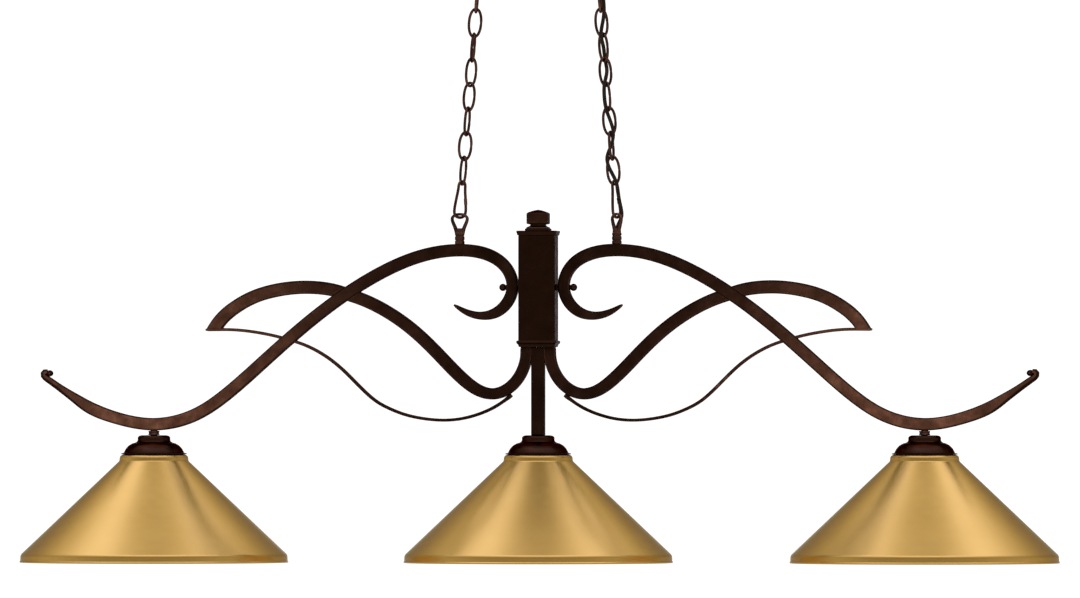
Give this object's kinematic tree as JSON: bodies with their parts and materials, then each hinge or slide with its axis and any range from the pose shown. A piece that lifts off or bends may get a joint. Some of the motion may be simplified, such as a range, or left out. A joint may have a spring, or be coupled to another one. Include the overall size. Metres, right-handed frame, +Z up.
{
  "type": "pool table lamp",
  "caption": "Long ceiling lamp for a pool table: scrolled bronze arms on a square column carry wide conical shades, hung by chains from an oblong canopy.",
  "frame": {"origin": "middle of the canopy crossbar's top face, on the ceiling", "axes": "+X along the row of shades, +Y to the back of the lamp as pictured, +Z up"},
  "size_m": [1.408, 0.363, 0.8352],
  "materials": {
    "canopy_pan": "satin dark bronze",
    "canopy_crossbar": "zinc plated",
    "canopy_loop_left": "rubbed bronze",
    "canopy_loop_right": "rubbed bronze",
    "chain_link_right_8": "rubbed bronze",
    "chain_link_right_1": "rubbed bronze",
    "chain_link_right_2": "rubbed bronze",
    "chain_link_right_3": "rubbed bronze",
    "chain_link_right_4": "rubbed bronze",
    "chain_link_right_5": "rubbed bronze",
    "chain_link_right_6": "rubbed bronze",
    "chain_link_right_7": "rubbed bronze",
    "supply_cord": "flat brown cord, satin",
    "pear_link_right": "rubbed bronze",
    "arm_loop_left": "rubbed bronze",
    "upper_arm_left": "satin dark bronze",
    "lower_arm_inner_left": "satin dark bronze",
    "lower_arm_outer_left": "satin dark bronze",
    "strip_outer_left": "satin dark bronze",
    "strip_inner_left": "satin dark bronze",
    "scroll_screw_left": "satin dark bronze",
    "nipple_left": "rubbed bronze",
    "arm_loop_right": "rubbed bronze",
    "upper_arm_right": "satin dark bronze",
    "lower_arm_inner_right": "satin dark bronze",
    "lower_arm_outer_right": "satin dark bronze",
    "strip_outer_right": "satin dark bronze",
    "strip_inner_right": "satin dark bronze",
    "scroll_screw_right": "satin dark bronze",
    "nipple_right": "rubbed bronze",
    "column_tube": "satin dark bronze",
    "column_top_cap": "satin dark bronze",
    "column_bottom_cap": "satin dark bronze",
    "finial_collar": "satin dark bronze",
    "finial_knob": "satin dark bronze",
    "center_stem": "satin dark bronze",
    "socket_cover_left": "semi-gloss dark bronze",
    "socket_left": "dark moulded phenolic",
    "shade_ring_left": "dark moulded phenolic",
    "shade_left": "satin brushed gold",
    "bulb_left": "frosted white",
    "socket_cover_center": "semi-gloss dark bronze",
    "socket_center": "dark moulded phenolic",
    "shade_ring_center": "dark moulded phenolic",
    "shade_center": "satin brushed gold",
    "bulb_center": "frosted white",
    "socket_cover_right": "semi-gloss dark bronze",
    "socket_right": "dark moulded phenolic",
    "shade_ring_right": "dark moulded phenolic",
    "shade_right": "satin brushed gold",
    "bulb_right": "frosted white",
    "chain_link_left_8": "rubbed bronze",
    "chain_link_left_1": "rubbed bronze",
    "chain_link_left_2": "rubbed bronze",
    "chain_link_left_3": "rubbed bronze",
    "chain_link_left_4": "rubbed bronze",
    "chain_link_left_5": "rubbed bronze",
    "chain_link_left_6": "rubbed bronze",
    "chain_link_left_7": "rubbed bronze",
    "pear_link_left": "rubbed bronze"
  },
  "bodies": {
    "canopy": {"canopy_pan": "canopy_pan", "canopy_crossbar": "canopy_crossbar", "canopy_loop_left": "canopy_loop_left", "canopy_loop_right": "canopy_loop_right"},
    "right_top_link": {"chain_link_right_8": "chain_link_right_8"},
    "right_chain": {"chain_link_right_1": "chain_link_right_1", "chain_link_right_2": "chain_link_right_2", "chain_link_right_3": "chain_link_right_3", "chain_link_right_4": "chain_link_right_4", "chain_link_right_5": "chain_link_right_5", "chain_link_right_6": "chain_link_right_6", "chain_link_right_7": "chain_link_right_7", "supply_cord": "supply_cord"},
    "right_pear": {"pear_link_right": "pear_link_right"},
    "fixture": {"arm_loop_left": "arm_loop_left", "upper_arm_left": "upper_arm_left", "lower_arm_inner_left": "lower_arm_inner_left", "lower_arm_outer_left": "lower_arm_outer_left", "strip_outer_left": "strip_outer_left", "strip_inner_left": "strip_inner_left", "scroll_screw_left": "scroll_screw_left", "nipple_left": "nipple_left", "arm_loop_right": "arm_loop_right", "upper_arm_right": "upper_arm_right", "lower_arm_inner_right": "lower_arm_inner_right", "lower_arm_outer_right": "lower_arm_outer_right", "strip_outer_right": "strip_outer_right", "strip_inner_right": "strip_inner_right", "scroll_screw_right": "scroll_screw_right", "nipple_right": "nipple_right", "column_tube": "column_tube", "column_top_cap": "column_top_cap", "column_bottom_cap": "column_bottom_cap", "finial_collar": "finial_collar", "finial_knob": "finial_knob", "center_stem": "center_stem", "socket_cover_left": "socket_cover_left", "socket_left": "socket_left", "shade_ring_left": "shade_ring_left", "shade_left": "shade_left", "bulb_left": "bulb_left", "socket_cover_center": "socket_cover_center", "socket_center": "socket_center", "shade_ring_center": "shade_ring_center", "shade_center": "shade_center", "bulb_center": "bulb_center", "socket_cover_right": "socket_cover_right", "socket_right": "socket_right", "shade_ring_right": "shade_ring_right", "shade_right": "shade_right", "bulb_right": "bulb_right"},
    "left_top_link": {"chain_link_left_8": "chain_link_left_8"},
    "left_chain": {"chain_link_left_1": "chain_link_left_1", "chain_link_left_2": "chain_link_left_2", "chain_link_left_3": "chain_link_left_3", "chain_link_left_4": "chain_link_left_4", "chain_link_left_5": "chain_link_left_5", "chain_link_left_6": "chain_link_left_6", "chain_link_left_7": "chain_link_left_7"},
    "left_pear": {"pear_link_left": "pear_link_left"}
  },
  "joints": [
    {"name": "chain_swing", "type": "hinge", "parent": "canopy", "child": "right_top_link", "pos_m": [0.08193, 0, -0.05919], "axis": [1, 0, 0], "range_deg": [-20, 20], "deforming": ["supply_cord"]},
    {"name": "side_sway", "type": "hinge", "parent": "right_top_link", "child": "right_chain", "pos_m": [0.08458, 0, -0.09213], "axis": [0, 1, 0], "range_deg": [-8, 8], "deforming": ["supply_cord"]},
    {"name": "pear_level_right", "type": "hinge", "parent": "right_chain", "child": "right_pear", "pos_m": [0.10327, 0, -0.32448], "axis": [0, 1, 0], "range_deg": [-8, 8], "deforming": ["supply_cord"]},
    {"name": "fixture_rock", "type": "hinge", "parent": "right_pear", "child": "fixture", "pos_m": [0.1065, 0, -0.3646], "axis": [1, 0, 0], "range_deg": [-15, 15], "deforming": ["supply_cord"]},
    {"name": "chain_swing_left", "type": "hinge", "parent": "canopy", "child": "left_top_link", "pos_m": [-0.08193, 0, -0.05919], "axis": [1, 0, 0], "range_deg": [-20, 20]},
    {"name": "side_sway_left", "type": "hinge", "parent": "left_top_link", "child": "left_chain", "pos_m": [-0.08458, 0, -0.09213], "axis": [0, 1, 0], "range_deg": [-8, 8]},
    {"name": "pear_level_left", "type": "hinge", "parent": "left_chain", "child": "left_pear", "pos_m": [-0.10327, 0, -0.32448], "axis": [0, 1, 0], "range_deg": [-8, 8]}
  ],
  "couplings": [
    {"joint": "pear_level_right", "follows": "side_sway", "ratio": -0.819},
    {"joint": "chain_swing_left", "follows": "chain_swing", "ratio": 1},
    {"joint": "side_sway_left", "follows": "side_sway", "ratio": 1},
    {"joint": "pear_level_left", "follows": "side_sway", "ratio": -0.819}
  ]
}
